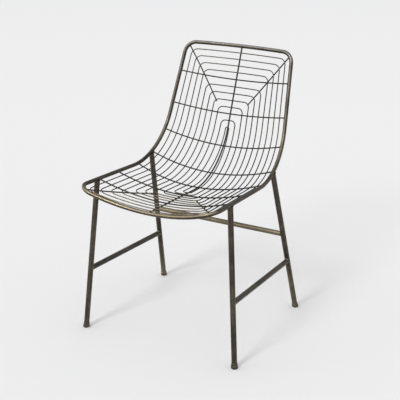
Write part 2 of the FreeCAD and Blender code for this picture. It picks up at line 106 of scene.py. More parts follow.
class ShellSizes(bpy.types.PropertyGroup):
    """The rim, the dish and the wires in it."""

    rim_dia: millimetres("Rim bar", "Round bar that is bent into the rim", 12)
    rim_front_bend: millimetres("Front corner bend", "Bend of the rim at a front corner", 38)
    rim_top_bend: millimetres("Top corner bend", "Bend of the rim at a top corner", 38)
    rim_front_drop: millimetres("Front drop", "Rim's front middle under the wires", 4.9)
    front_half_width: millimetres("Front half width", "Centre line to side rail in front", 224.6)
    bend_half_width: millimetres("Bend half width", "Centre line to side rail at the bend", 214.6)
    top_half_width: millimetres("Top half width", "Centre line to side rail at the top", 184)
    rail_front_y: millimetres("Rail front Y", "Front corner of the side rail", -300.4)
    rail_front_z: millimetres("Rail front Z", "Front corner of the side rail", 488.8)
    rail_bend_y: millimetres("Rail bend Y", "Seat line meets back line on the rail", 139.9)
    rail_bend_z: millimetres("Rail bend Z", "Seat line meets back line on the rail", 463.2)
    rail_top_y: millimetres("Rail top Y", "Top corner of the side rail", 269.6)
    rail_top_z: millimetres("Rail top Z", "Top corner of the side rail", 815.3)
    rail_bend: millimetres("Rail bend", "Bend of the side rail", 198.6)
    dish_front_y: millimetres("Dish front Y", "Front of the dish's centre line", -272.7)
    dish_front_z: millimetres("Dish front Z", "Front of the dish's centre line", 445.9)
    dish_bend_y: millimetres("Dish bend Y", "Seat line meets back line at the centre", 146.3)
    dish_bend_z: millimetres("Dish bend Z", "Seat line meets back line at the centre", 425.9)
    dish_top_y: millimetres("Dish top Y", "Top of the dish's centre line", 291.5)
    dish_top_z: millimetres("Dish top Z", "Top of the dish's centre line", 813.9)
    dish_bend: millimetres("Dish bend", "Bend of the dish's centre line", 216.8)
    loop_dia: millimetres("Loop wire", "Wire of the nested loops", 3.4)
    outer_loop_bend: millimetres("Outer loop's bend", "At its corners", 22.5)
    inner_loop_bend: millimetres("Inner loop's bend", "At its corners", 14)
    least_bow: millimetres("Least bow", "A loop's end that bows by less is straight", 0.5)
    side_first_gap: millimetres("Side gap", "Side rail to the outer loop", 22)
    front_inner_width: millimetres("Inner width in front", "Inner loop's half width", 19.6)
    bend_inner_width: millimetres("Inner width at the bend", "Inner loop's half width", 9.1)
    top_inner_width: millimetres("Inner width at the top", "Inner loop's half width", 0)
    front_first_gap: millimetres("Front first gap", "Rim to the outer loop", 11.5)
    front_outer_pitch: millimetres("Front outer pitch", "Outer loops, one to the next", 20.8)
    front_outer_cross: millimetres("Front outer crossing", "Across the first cross wire", 41.8)
    front_pitch: millimetres("Front pitch", "Inner loops, one to the next", 17.8)
    front_inner_cross: millimetres("Front inner crossing", "Across the second cross wire", 27)
    top_first_gap: millimetres("Top first gap", "Rim to the outer loop", 21.7)
    top_outer_pitch: millimetres("Top outer pitch", "Outer loops, one to the next", 20.8)
    top_outer_cross: millimetres("Top outer crossing", "Across the first cross wire", 45.4)
    top_pitch: millimetres("Top pitch", "Inner loops, one to the next", 21.8)
    top_inner_cross: millimetres("Top inner crossing", "Across the second cross wire", 41.6)
    cross_dia: millimetres("Cross wire", "Wire across the loops, on the sitter's side", 4.2)
    corner_dia: millimetres("Corner wire", "Diagonal wire behind the loops' corners", 4.2)
    corner_tail: millimetres("Corner wire's tail", "Beyond the last loop that it carries", 4)
    spine_dia: millimetres("Spine wire", "Centre wire behind the loops", 5)
    layer_gap: millimetres("Layer gap", "Between two layers, less where they are fused", 0)
    seat_rear_on_dish: millimetres("Rear seat wire", "Its middle, along the dish", 266.1)
    bend_on_dish: millimetres("Bend wire", "Its middle, along the dish", 363.4)
    back_lower_on_dish: millimetres("Lower back wire", "Its middle, along the dish", 470.6)
    seat_front_on_rail: millimetres("Front seat wire's end", "Along the rail", 101.5)
    seat_middle_on_rail: millimetres("Middle seat wire's end", "Along the rail", 198.5)
    seat_rear_on_rail: millimetres("Rear seat wire's end", "Along the rail", 309.3)
    bend_on_rail: millimetres("Bend wire's end", "Along the rail", 392.4)
    back_lower_on_rail: millimetres("Lower back wire's end", "Along the rail", 486.8)
    back_middle_on_rail: millimetres("Middle back wire's end", "Along the rail", 578.2)
    back_upper_on_rail: millimetres("Upper back wire's end", "Along the rail", 682.3)
    last_cornered_loop: bpy.props.IntProperty(
        name="Last cornered loop", description="The corner wires end behind it", default=7, min=2
    )


class LegSizes(bpy.types.PropertyGroup):
    """The legs, the stretchers between them and the feet."""

    leg_dia: millimetres("Leg tube", "Leg tube, outside", 16.5)
    cope: millimetres("Cope", "How far a leg's end wraps up round the rim", 3)
    front_foot_x: millimetres("Front foot X", "Centre line to front foot", 260.3)
    front_foot_y: millimetres("Front foot Y", "Front foot", -234.5)
    rear_foot_x: millimetres("Rear foot X", "Centre line to rear foot", 249.6)
    rear_foot_y: millimetres("Rear foot Y", "Rear foot", 212.4)
    stretcher_dia: millimetres("Stretcher", "Stretcher bars", 16)
    side_front_z: millimetres("Side stretcher front Z", "At the front leg", 197.1)
    side_rear_z: millimetres("Side stretcher rear Z", "At the rear leg", 177.7)
    rear_z: millimetres("Rear stretcher Z", "Between the rear legs", 275.5)
    shoe_length: millimetres("Shoe", "Flared shoe round the leg's end", 13)
    shoe_wall: millimetres("Shoe wall", "At its upper lip", 0.9)
    shoe_foot_dia: millimetres("Shoe foot", "Shoe at its foot", 21)
    shoe_flare: millimetres("Shoe flare", "Hollow flare from the lip to the foot", 26)
    glide_dia: millimetres("Glide", "Nylon glide under the shoe", 19)
    glide_thickness: millimetres("Glide thickness", "Nylon glide", 3)
    glide_round: millimetres("Glide edge", "Rounding of the glide's lower edge", 0.8)


class WeldSizes(bpy.types.PropertyGroup):
    """The beads where one piece is joined to another."""

    leg_bead: millimetres("Leg bead", "Bead where a leg meets the rim", 2.2)
    stretcher_bead: millimetres("Stretcher bead", "Bead where a stretcher meets a leg", 2)
    wire_bead: millimetres("Wire bead", "Bead where a wire meets the rim", 1.3)
    crossing_nugget: millimetres("Crossing nugget", "Spot weld where two wires cross", 1.9)


class Finishes(bpy.types.PropertyGroup):
    """The colours of the metal and the nylon."""

    patina: tint("Patina", "Dark film that is left in the hollows", (0.0185, 0.0165, 0.0130))
    bronze: tint("Bronze", "Body colour of the aged bars", (0.097, 0.079, 0.055))
    steel: tint("Wire film", "Body colour of the thin wires", (0.052, 0.046, 0.037))
    # Brass and pale metal are what both wear and the painted highlight show.
    brass: tint("Brass", "Metal that shows at the seat's front", (0.390, 0.320, 0.205))
    pale: tint("Pale metal", "Metal that shows at the top of the back", (0.320, 0.290, 0.260))
    nylon: tint("Nylon", "Glides under the feet", (0.018, 0.017, 0.016))


class StageSettings(bpy.types.PropertyGroup):
    """The camera, the lamps and the background."""

    azimuth: angle("Azimuth", "Camera, round from the front", 29.43)
    elevation: angle("Elevation", "Camera, above the horizon", 20.54)
    distance: millimetres("Distance", "Camera to its target", 3053)
    target_y: millimetres("Target Y", "What the camera looks at", 25.1)
    target_z: millimetres("Target Z", "What the camera looks at", 384.4)
    lens: bpy.props.FloatProperty(
        name="Lens", description="Focal length on the 36 mm sensor", default=89.3, unit="CAMERA"
    )
    key_strength: strength("Key light", "Broad light from the front", 1.25)
    key_elevation: angle("Key elevation", "Above the floor", 36)
    key_azimuth: angle("Key azimuth", "Round from the front", -8)
    key_spread: angle("Key spread", "How wide it looks", 16)
    side_strength: strength("Side light", "Low and very broad light from the left", 0.7)
    side_elevation: angle("Side elevation", "Above the floor", 10)
    side_azimuth: angle("Side azimuth", "Round from the front", -55)
    side_spread: angle("Side spread", "How wide it looks", 50)
    ambient: strength("Ambient", "Light from all round", 0.75)
    background: tint("Background", "Background and far floor", (0.845, 0.845, 0.855))
    floor: tint("Floor", "Floor round the chair", (0.845, 0.845, 0.850))


def toward(start, end, distance):
    """The point at a distance from a start on the way to an end."""
    return start + (end - start).normalized() * distance


def square_to(heading):
    """A direction square to a heading, level where the heading isn't steep."""
    return heading.cross(UP if abs(heading.z) < STEEP else RIGHT).normalized()


def bearing(azimuth, elevation):
    """A direction, by its turn round from the front and its height above the horizon."""
    level = math.cos(elevation)
    return Vector((math.sin(azimuth) * level, -math.cos(azimuth) * level, math.sin(elevation)))


class Run:
    """A straight run, or an arc when it has a centre's direction and a radius."""

    def __init__(self, start, direction, length, inward=None, radius=0.0):
        self.start = start
        self.direction = direction
        self.length = length
        self.inward = inward
        self.radius = radius

    def at(self, distance):
        if self.inward is None:
            return self.start + self.direction * distance, self.direction
        turn = distance / self.radius
        point = self.direction * math.sin(turn) + self.inward * (1 - math.cos(turn))
        heading = self.direction * math.cos(turn) + self.inward * math.sin(turn)
        return self.start + point * self.radius, heading


class Track:
    """Straight runs joined by tangent arcs, measured by the distance along them."""

    LEAST_RUN = 1e-6

    def __init__(self, points, radii):
        spans = list(zip(points, points[1:]))
        lengths = [(end - start).length for start, end in spans]
        headings = [(end - start).normalized() for start, end in spans]
        halves = [a.angle(b) / 2 for a, b in zip(headings, headings[1:])]
        reaches = [math.inf if radius is None else radius for radius in radii]
        wanted = [radius * math.tan(half) for radius, half in zip(reaches, halves)]
        cuts = [0.0] * len(points)
        for cut, i in sorted(zip(wanted, range(1, len(points) - 1))):
            cuts[i] = min(cut, lengths[i - 1] - cuts[i - 1], lengths[i] - cuts[i + 1])
        self.runs = []
        self.middles = []
        last = points[0]
        for i, half in enumerate(halves, start=1):
            start = points[i] - headings[i - 1] * cuts[i]
            self.add_line(last, start)
            radius = cuts[i] / math.tan(half)
            inward = (headings[i] - headings[i - 1] * math.cos(2 * half)) / math.sin(2 * half)
            arc = Run(start, headings[i - 1], 2 * half * radius, inward, radius)
            self.runs.append(arc)
            self.middles.append(arc.at(half * radius)[0])
            last = points[i] + headings[i] * cuts[i]
        self.add_line(last, points[-1])
        self.length = sum(run.length for run in self.runs)

    def add_line(self, start, end):
        length = (end - start).length
        if length > self.LEAST_RUN:
            self.runs.append(Run(start, (end - start).normalized(), length))

    def at(self, distance):
        """The point and the heading at a distance along the track."""
        for run in self.runs[:-1]:
            if distance <= run.length:
                return run.at(distance)
            distance -= run.length
        return self.runs[-1].at(distance)

    def points(self, step, turn):
        """Points no further apart than a step, with no more than a turn between two."""
        found = [self.runs[0].at(0)[0]]
        for run in self.runs:
            parts = math.ceil(run.length / step)
            if run.inward is not None:
                parts = max(parts, math.ceil(run.length / run.radius / turn))
            found += [run.at(run.length * part / parts)[0] for part in range(1, parts + 1)]
        return found


class Row:
    """One line of the shell from its front to its top, at given half widths.

    Its share of the way from the centre line to the side rail is the square of its share of the
    half width, so the dish is a shallow parabola across.
    """

    ENDS = ("front", "bend", "top")

    def __init__(self, sizes, widths):
        self.points = []
        for end, width in zip(self.ENDS, widths):
            rise = (width / getattr(sizes, f"{end}_half_width")) ** 2
            centre = Vector((0, getattr(sizes, f"dish_{end}_y"), getattr(sizes, f"dish_{end}_z")))
            rail = Vector((0, getattr(sizes, f"rail_{end}_y"), getattr(sizes, f"rail_{end}_z")))
            self.points.append(centre.lerp(rail, rise) + RIGHT * width)
        rise = (widths[1] / sizes.bend_half_width) ** 2
        self.radius = sizes.dish_bend + (sizes.rail_bend - sizes.dish_bend) * rise
        self.track = Track(self.points, [self.radius])


class Loop:
    """The +X half of one closed wire, and the middles of its corner bends."""

    # The largest share of a loop's own half width that the bend at its corner may take up.
    CORNER_SHARE = 0.8

    def __init__(self, sizes, dish, row, insets, radii, front_drop):
        self.sizes = sizes
        self.dish = dish
        front, front_radii = self.half_end(row, 0, insets[0], radii[0], front_drop)
        top, top_radii = self.half_end(row, 2, insets[1], radii[1], 0)
        points = front + [row.points[1]] + top[::-1]
        self.half = Track(points, front_radii + [row.radius] + top_radii[::-1])
        self.corners = {
            "front": self.corner_place(row, 0, self.half.middles[len(front) - 2]),
            "top": self.corner_place(row, 2, self.half.middles[len(front)]),
        }

    def half_end(self, row, index, inset, radius, drop):
        """The points of one end from its middle to its corner, and the bends at the inner ones."""
        bend = row.points[1]
        corner = toward(row.points[index], bend, inset)
        middle = toward(self.dish.points[index], self.dish.points[1], inset) - UP * drop
        tangent = math.tan((corner - middle).angle(bend - corner) / 2)
        cut = min(radius * tangent, corner.x * self.CORNER_SHARE)
        if (corner - middle).cross(RIGHT).length < self.sizes.least_bow:
            return [Vector((0, corner.y, corner.z)), corner], [cut / tangent]
        return [middle, middle + RIGHT * (corner.x - cut) / 2, corner], [None, cut / tangent]

    @staticmethod
    def corner_place(row, index, middle):
        """The middle of a corner's bend, and how far it lies from its end of the row."""
        end = row.points[index]
        return middle, (middle - end).dot((row.points[1] - end).normalized())

    def ring(self, step, turn):
        """Points all the way round the loop."""
        half = self.half.points(step, turn)
        return half + [Vector((-p.x, p.y, p.z)) for p in half[-2:0:-1]]


class Shell:
    """All the centre lines of the shell, from the sizes that a user may change."""

    OUTER, MIDDLE, INNER = 4, 4, 2
    # Where a cross wire lies in its gap between two loops, as a share from the outer one.
    CROSSING_SHARES = {"front": 0.25, "top": 0.5}
    CROSS_POINTS = 48
    CORNER_POINTS = 20

    def __init__(self, sizes):
        self.sizes = sizes
        self.rail = Row(sizes, [getattr(sizes, f"{end}_half_width") for end in Row.ENDS])
        self.dish = Row(sizes, [0, 0, 0])
        bends = (sizes.rim_front_bend, sizes.rim_top_bend)
        self.rim = Loop(sizes, self.dish, self.rail, (0, 0), bends, sizes.rim_front_drop)
        front, self.front_crossings = self.ladder("front")
        top, self.top_crossings = self.ladder("top")
        self.loops = []
        for index, insets in enumerate(zip(front, top)):
            inward = index / (len(front) - 1)
            row = Row(sizes, [self.loop_width(end, inward) for end in Row.ENDS])
            bend = sizes.outer_loop_bend + (sizes.inner_loop_bend - sizes.outer_loop_bend) * inward
            self.loops.append(Loop(sizes, self.dish, row, insets, (bend, bend), 0))

    def ladder(self, end):
        """How far in from the rim each loop and the two cross wires lie, at one end."""
        pitch = getattr(self.sizes, f"{end}_pitch")
        steps = [getattr(self.sizes, f"{end}_outer_pitch")] * (self.OUTER - 1)
        steps += [getattr(self.sizes, f"{end}_outer_cross")]
        steps += [pitch] * (self.MIDDLE - 1)
        steps += [getattr(self.sizes, f"{end}_inner_cross")]
        steps += [pitch] * (self.INNER - 1)
        places = [getattr(self.sizes, f"{end}_first_gap")]
        for step in steps:
            places.append(places[-1] + step)
        share = self.CROSSING_SHARES[end]
        gaps = (self.OUTER, self.OUTER + self.MIDDLE)
        return places, [places[i - 1] + (places[i] - places[i - 1]) * share for i in gaps]

    def loop_width(self, end, share):
        outer = getattr(self.sizes, f"{end}_half_width") - self.sizes.side_first_gap
        return outer + (getattr(self.sizes, f"{end}_inner_width") - outer) * share

    def layer(self, dia):
        """Centre to centre of a loop wire and the wire that is welded across it."""
        return (self.sizes.loop_dia + dia) / 2 + self.sizes.layer_gap

    def point(self, rail_place, dish_place, share, height):
        """A point of the dish at a share of its half width, raised toward the sitter."""
        rail, rail_heading = self.rail.track.at(rail_place)
        centre, centre_heading = self.dish.track.at(dish_place)
        rise = rail - centre
        swing = rail_heading - centre_heading
        across = Vector((rail.x, 2 * rise.y * share, 2 * rise.z * share))
        bowed = share**2
        down_row = centre_heading + Vector((swing.x * share, swing.y * bowed, swing.z * bowed))
        place = centre + Vector((rail.x * share, rise.y * bowed, rise.z * bowed))
        return place + across.cross(down_row).normalized() * height

    def cross_places(self):
        """Each cross wire's name, with its places along the side rail and along the dish."""
        sizes = self.sizes
        length = self.dish.track.length
        return (
            ("seat_front", sizes.seat_front_on_rail, self.front_crossings[0]),
            ("seat_middle", sizes.seat_middle_on_rail, self.front_crossings[1]),
            ("seat_rear", sizes.seat_rear_on_rail, sizes.seat_rear_on_dish),
            ("bend", sizes.bend_on_rail, sizes.bend_on_dish),
            ("back_lower", sizes.back_lower_on_rail, sizes.back_lower_on_dish),
            ("back_middle", sizes.back_middle_on_rail, length - self.top_crossings[1]),
            ("back_upper", sizes.back_upper_on_rail, length - self.top_crossings[0]),
        )

    def cross_wires(self):
        """Each cross wire's name and its points from the left rail to the right one."""
        height = self.layer(self.sizes.cross_dia)
        shares = [2 * step / self.CROSS_POINTS - 1 for step in range(self.CROSS_POINTS + 1)]
        for name, on_rail, on_dish in self.cross_places():
            yield name, [self.point(on_rail, on_dish, share, height) for share in shares]

    def corner_wires(self):
        """Each corner wire's name and its points from the rim's corner inward."""
        height = -self.layer(self.sizes.corner_dia)
        last = self.loops[self.sizes.last_cornered_loop - 1]
        for end in ("front", "top"):
            start, start_place = self.rim.corners[end]
            stop, stop_place = last.corners[end]
            reach = math.hypot(stop.x - start.x, stop_place - start_place)
            overrun = 1 + self.sizes.corner_tail / reach
            points = []
            for step in range(self.CORNER_POINTS + 1):
                fade = 1 - step / self.CORNER_POINTS
                share = (1 - fade) * overrun
                width = start.x + (stop.x - start.x) * share
                place = start_place + (stop_place - start_place) * share
                places = (place, place)
                if end == "top":
                    places = (self.rail.track.length - place, self.dish.track.length - place)
                width_share = width / self.rail.track.at(places[0])[0].x
                if step == 0:
                    stray = start - self.point(*places, width_share, 0)
                points.append(self.point(*places, width_share, height) + stray * fade)
            for side, sign in SIDES:
                yield f"{end}_{side}", [Vector((sign * p.x, p.y, p.z)) for p in points]

    def spine(self):
        """The centre wire's track, one layer behind the loops."""
        offset = self.layer(self.sizes.spine_dia)
        front, bend, top = self.dish.points
        seat_down = (bend - front).normalized().cross(RIGHT).normalized()
        back_down = (top - bend).normalized().cross(RIGHT).normalized()
        corner = (seat_down + back_down) * (offset / (1 + seat_down.dot(back_down)))
        points = [front + seat_down * offset, bend + corner, top + back_down * offset]
        return Track(points, [self.dish.radius + offset])


class Piece:
    """A mesh in the making. An attribute on its points adds to its wear and painted highlight."""

    SHARP = math.radians(38)

    def __init__(self, rub=0.0):
        self.mesh = bmesh.new()
        self.layer = self.mesh.verts.layers.float.new("rub")
        self.rub = rub

    def ring(self, points):
        made = [self.mesh.verts.new(point) for point in points]
        for vert in made:
            vert[self.layer] = self.rub
        return made

    def bridge(self, first, second):
        count = len(first)
        for i in range(count):
            j = (i + 1) % count
            self.mesh.faces.new((first[i], first[j], second[j], second[i]))

    def cap(self, ring, flip):
        self.mesh.faces.new(ring[::-1] if flip else ring)

    def skin(self, rings, closed=False, first_cap=True, last_cap=True):
        """Join a row of rings into a tube."""
        for first, second in zip(rings, rings[1:]):
            self.bridge(first, second)
        if closed:
            self.bridge(rings[-1], rings[0])
            return
        if first_cap:
            self.cap(rings[0], True)
        if last_cap:
            self.cap(rings[-1], False)

    def tube(self, points, radius, sides, closed=False):
        """A round wire along a row of points, its section carried along without twist."""
        count = len(points)
        headings = []
        for i in range(count):
            before = points[i - 1] if closed or i else points[0]
            after = points[(i + 1) % count] if closed or i < count - 1 else points[-1]
            headings.append((after - before).normalized())
        axis = square_to(headings[0])
        rings = []
        for i, (point, heading) in enumerate(zip(points, headings)):
            if i:
                axis = headings[i - 1].rotation_difference(heading) @ axis
                axis = (axis - heading * axis.dot(heading)).normalized()
            other = heading.cross(axis)
            ring = []
            for side in range(sides):
                turn = math.tau * side / sides
                ring.append(point + (axis * math.cos(turn) + other * math.sin(turn)) * radius)
            rings.append(self.ring(ring))
        if closed:
            self.close_twisted(rings)
        self.skin(rings, first_cap=not closed, last_cap=not closed)

    def close_twisted(self, rings):
        """Join the last ring to the first where they match best."""
        last, first = rings[-1], rings[0]
        sides = len(first)
        shift = min(range(sides), key=lambda s: (last[0].co - first[s].co).length)
        self.bridge(last, [first[(i + shift) % sides] for i in range(sides)])

    def finish(self, name, material, slot, *nodes):
        """Turn the mesh into a piece that rides on the chair and stands for its solids."""
        bmesh.ops.recalc_face_normals(self.mesh, faces=self.mesh.faces)
        data = bpy.data.meshes.new(name)
        self.mesh.to_mesh(data)
        self.mesh.free()
        data.polygons.foreach_set("use_smooth", [True] * len(data.polygons))
        data.set_sharp_from_angle(angle=self.SHARP)
        data.materials.append(material)
        piece = bpy.data.objects.new(name, data)
        bpy.context.scene.collection.objects.link(piece)
        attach(piece, BODY)
        if nodes:
            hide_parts(*nodes)
        return piece


class Joint:
    """Where a bar lands on a round carrier.

    away is the bar's heading from the carrier, and least is how near to the carrier's axis the
    bar's end may come where it wraps past the carrier's side.
    """

    def __init__(self, bar_point, away, carrier_point, carrier_heading, carrier_radius, least=0.0):
        self.away = away.normalized()
        self.radius = carrier_radius
        self.least = least
        self.third = carrier_heading.cross(self.away).normalized()
        self.out = self.third.cross(carrier_heading).normalized()
        self.slant = self.away.dot(self.out)
        apart = bar_point - carrier_point
        self.shift = apart.dot(self.third)
        self.origin = bar_point - self.away * (apart.dot(self.out) / self.slant)

    def land(self, radial):
        """The point of the bar's surface that lies on the carrier, for one radial of the bar."""
        sideways = self.shift + radial.dot(self.third)
        reach = math.sqrt(max(self.radius**2 - sideways**2, self.least**2))
        return self.origin + radial + self.away * ((reach - radial.dot(self.out)) / self.slant)


def radials(heading, count, radius):
    """Vectors from a bar's axis to its surface, all round."""
    axis = square_to(heading)
    other = heading.cross(axis)
    turns = [math.tau * i / count for i in range(count)]
    return [(axis * math.cos(t) + other * math.sin(t)) * radius for t in turns]


# How a bead's section runs from its toe on the carrier to the bar: share out and share up.
BEAD_SECTION = ((1.0, -0.25), (0.92, 0.05), (0.62, 0.3), (0.3, 0.62), (0.0, 1.05), (-0.2, 1.0))
BEAD_LUMP = 0.16
BEAD_RIPPLE = 0.012
LUMP_SCALE = 420


def add_bead(piece, joint, radius, bead, sides=28):
    """A hollow weld bead round a joint, rippled as a hand-laid bead is.

    It stands out sideways no further than the carrier or the bar does.
    """
    limit = max(joint.radius, abs(joint.shift) + radius)
    rings = []
    for out, up in BEAD_SECTION:
        points = []
        for radial in radials(joint.away, sides, 1):
            lump = 1 + BEAD_LUMP * noise.noise((joint.origin + radial * radius) * LUMP_SCALE)
            grown = radial * (radius + bead * out * lump)
            sideways = joint.shift + grown.dot(joint.third)
            grown -= joint.third * (sideways - max(-limit, min(limit, sideways)))
            points.append(joint.land(grown) + joint.away * bead * up * lump)
        rings.append(piece.ring(points))
    piece.skin(rings, first_cap=False, last_cap=False)


class Socket:
    """A node's output. Arithmetic on it adds Math nodes, and node() adds any other kind."""

    def __init__(self, socket):
        self.socket = socket

    @staticmethod
    def node(tree, kind, settings=(), output=0, **inputs):
        """Add a node, set it, then feed its sockets, which go by name with _ for a space."""
        made = tree.nodes.new(kind)
        for name, value in dict(settings).items():
            setattr(made, name, value)
        by_name = {}
        for socket in made.inputs:
            by_name.setdefault(socket.name.replace(" ", "_"), socket)
            by_name[socket.identifier.replace(" ", "_")] = socket
        for name, value in inputs.items():
            if isinstance(value, Socket):
                tree.links.new(value.socket, by_name[name])
            else:
                by_name[name].default_value = value
        return Socket(made.outputs[output])

    def maths(self, operation, first, second):
        made = self.node(self.socket.id_data, "ShaderNodeMath", {"operation": operation})
        for slot, value in zip(made.socket.node.inputs, (first, second)):
            if isinstance(value, Socket):
                self.socket.id_data.links.new(value.socket, slot)
            else:
                slot.default_value = value
        return made

    def __add__(self, other):
        return self.maths("ADD", self, other)

    def __radd__(self, other):
        return self.maths("ADD", other, self)

    def __sub__(self, other):
        return self.maths("SUBTRACT", self, other)

    def __rsub__(self, other):
        return self.maths("SUBTRACT", other, self)

    def __mul__(self, other):
        return self.maths("MULTIPLY", self, other)

    def __rmul__(self, other):
        return self.maths("MULTIPLY", other, self)

    def clamped(self):
        """The same value, held between 0 and 1."""
        self.socket.node.use_clamp = True
        return self


def new_material(name):
    """An empty node tree for a surface, and its output node."""
    material = bpy.data.materials.new(name)
    material.use_nodes = True
    tree = material.node_tree
    tree.nodes.clear()
    return material, tree, tree.nodes.new("ShaderNodeOutputMaterial")


def mixed(tree, factor, first, second):
    """A colour between two, by a value."""
    colours = [c if isinstance(c, Socket) else (*c, 1) for c in (first, second)]
    return Socket.node(
        tree, "ShaderNodeMix", {"data_type": "RGBA"}, output=2,
        Factor_Float=factor, A_Color=colours[0], B_Color=colours[1],
    )


def noise_pattern(tree, place, scale, detail, roughness):
    """Values about a half that drift over a surface."""
    return Socket.node(
        tree, "ShaderNodeTexNoise", Vector=place, Scale=scale, Detail=detail, Roughness=roughness
    )


# The hollow of the dish, where the film stays and no painted highlight is laid, and how far out
# from it the lighter metal shows.
HOLLOW = (0, 0.14, 0.47)
HOLLOW_RADIUS = 0.17
# Below this height the rear legs are scuffed, and by how much.
LOW_HEIGHT = 0.18
SCUFFED = 0.18
# The patterns in the film, and the grain of a surface, by their scales per metre.
DRIFT, CLOUD, GRAIN = 11.0, 60.0, 900.0
# How the streaks of the film run: finely round a bar, and slowly along it.
STREAKS_ROUND, STREAKS_ALONG = (2.6,) * 3, 9.0
# How much each pattern makes the film uneven.
DRIFT_SHARE, CLOUD_SHARE, STREAKS_SHARE = 0.7, 0.7, 1.6
BUMP_DEPTH = 0.0002


def aged_bronze(name, finishes, body):
    """Metal under a dark film, lighter on faces that look up and forward: partly wear where a
    sitter passes, partly a painted highlight.
    """
    found = bpy.data.materials.get(name)
    if found:
        return found
    material, tree, output = new_material(name)
    place = Socket.node(tree, "ShaderNodeTexCoord", output="Object")
    normal = Socket.node(tree, "ShaderNodeTexCoord", output="Normal")
    rub = Socket.node(tree, "ShaderNodeAttribute", {"attribute_name": "rub"}, output="Fac")
    upward = Socket.node(tree, "ShaderNodeSeparateXYZ", output="Z", Vector=normal)
    backward = Socket.node(tree, "ShaderNodeSeparateXYZ", output="Y", Vector=normal)
    rearness = Socket.node(tree, "ShaderNodeSeparateXYZ", output="Y", Vector=place)
    height = Socket.node(tree, "ShaderNodeSeparateXYZ", output="Z", Vector=place)
    reach = Socket.node(
        tree, "ShaderNodeVectorMath", {"operation": "DISTANCE"}, output="Value",
        Vector=place, Vector_001=HOLLOW,
    )
    along = Socket.node(
        tree, "ShaderNodeVectorMath", {"operation": "SCALE"}, Vector=place, Scale=STREAKS_ALONG
    )
    drawn_out = Socket.node(
        tree, "ShaderNodeVectorMath", {"operation": "MULTIPLY_ADD"},
        Vector=normal, Vector_001=STREAKS_ROUND, Vector_002=along,
    )
    drift = noise_pattern(tree, place, DRIFT, 2.0, 0.5)
    cloud = noise_pattern(tree, place, CLOUD, 3.0, 0.55)
    streaks = noise_pattern(tree, drawn_out, 1.0, 4.0, 0.6)
    grain = noise_pattern(tree, place, GRAIN, 3.0, 0.6)
    uneven = (drift - 0.5) * DRIFT_SHARE + (cloud - 0.5) * CLOUD_SHARE
    uneven = uneven + (streaks - 0.5) * STREAKS_SHARE
    # Lighter metal on faces that look up and forward outside the hollow, partly wear and partly a
    # painted highlight, and on the scuffed foot of a rear leg.
    edge = (-0.8 - backward * 2.8).clamped() * (upward * 2.3 - 0.5).clamped()
    passed_and_highlit = edge * ((reach - HOLLOW_RADIUS) * 6).clamped()
    kicked = ((LOW_HEIGHT - height) * 8).clamped() * (rearness * 9).clamped()
    worn_and_highlit = (passed_and_highlit + uneven * (0.2 + edge * 0.5) + rub + kicked * SCUFFED).clamped()
    film = (0.5 + uneven * 1.3).clamped()
    # The metal shown by wear and by the painted highlight turns from brass to its paler colour
    # between the seat and the top rail.
    bare_and_highlight = mixed(tree, (height * 4 - 1.9).clamped(), finishes.brass, finishes.pale)
    colour = mixed(tree, worn_and_highlit, mixed(tree, film, finishes.patina, body), bare_and_highlight)
    bump = Socket.node(
        tree, "ShaderNodeBump",
        Strength=0.2, Distance=BUMP_DEPTH, Height=grain * 0.7 + cloud * 0.3,
    )
    shader = Socket.node(
        tree, "ShaderNodeBsdfPrincipled",
        Base_Color=colour, Metallic=0.8 + worn_and_highlit * 0.15, Normal=bump,
        Roughness=0.40 + (0.5 - film) * 0.12 + (grain - 0.5) * 0.08,
    )
    tree.links.new(shader.socket, output.inputs["Surface"])
    return material


# Scuffs of the nylon: their scale, where they start, and how much paler than its own colour.
SCUFF_SCALE, SCUFF_START, SCUFF_PALE = 260.0, 0.55, 4


def nylon(finishes):
    """Moulded nylon, scuffed paler where it slides on a floor."""
    name = "moulded_nylon"
    found = bpy.data.materials.get(name)
    if found:
        return found
    material, tree, output = new_material(name)
    place = Socket.node(tree, "ShaderNodeTexCoord", output="Object")
    speckle = noise_pattern(tree, place, GRAIN, 3.0, 0.6)
    scuff = noise_pattern(tree, place, SCUFF_SCALE, 4.0, 0.7)
    scuffed = ((scuff - SCUFF_START) * 4).clamped()
    pale = [min(1, channel * SCUFF_PALE) for channel in finishes.nylon]
    colour = mixed(tree, scuffed * 0.5, finishes.nylon, pale)
    bump = Socket.node(
        tree, "ShaderNodeBump", Strength=0.25, Distance=BUMP_DEPTH, Height=speckle
    )
    shader = Socket.node(
        tree, "ShaderNodeBsdfPrincipled",
        Base_Color=colour, Roughness=0.52 + scuffed * 0.2, Normal=bump,
    )
    tree.links.new(shader.socket, output.inputs["Surface"])
    return material


def bar_finish(scene):
    return aged_bronze("aged_bronze_bar", scene.chair_finishes, scene.chair_finishes.bronze)


def wire_finish(scene):
    return aged_bronze("aged_bronze_wire", scene.chair_finishes, scene.chair_finishes.steel)


BAR_SLOT = "frame_bronze"
WIRE_SLOT = "wire_bronze"
GLIDE_SLOT = "glide_plastic"
# The faces round a section, the furthest that two sections stand apart, and the sharpest turn
# between them.
WIRE_SIDES, BAR_SIDES = 12, 24
WIRE_STEP, BAR_STEP = 0.02, 0.012
FINE_TURN = math.radians(4)
# How much more or less wear and painted highlight each kind of piece gets than the place of its
# faces alone says.
RIM_RUB_AND_SHEEN, LEG_RUB_AND_SHEEN, STRETCHER_RUB_AND_SHEEN, REAR_RUB_AND_SHEEN = 0.0, 0.0, -0.1, 0.22
LOOP_RUB_AND_SHEEN, CROSS_RUB_AND_SHEEN, CORNER_RUB_AND_SHEEN, SPINE_RUB_AND_SHEEN = 0.0, -1.0, -0.8, -1.0


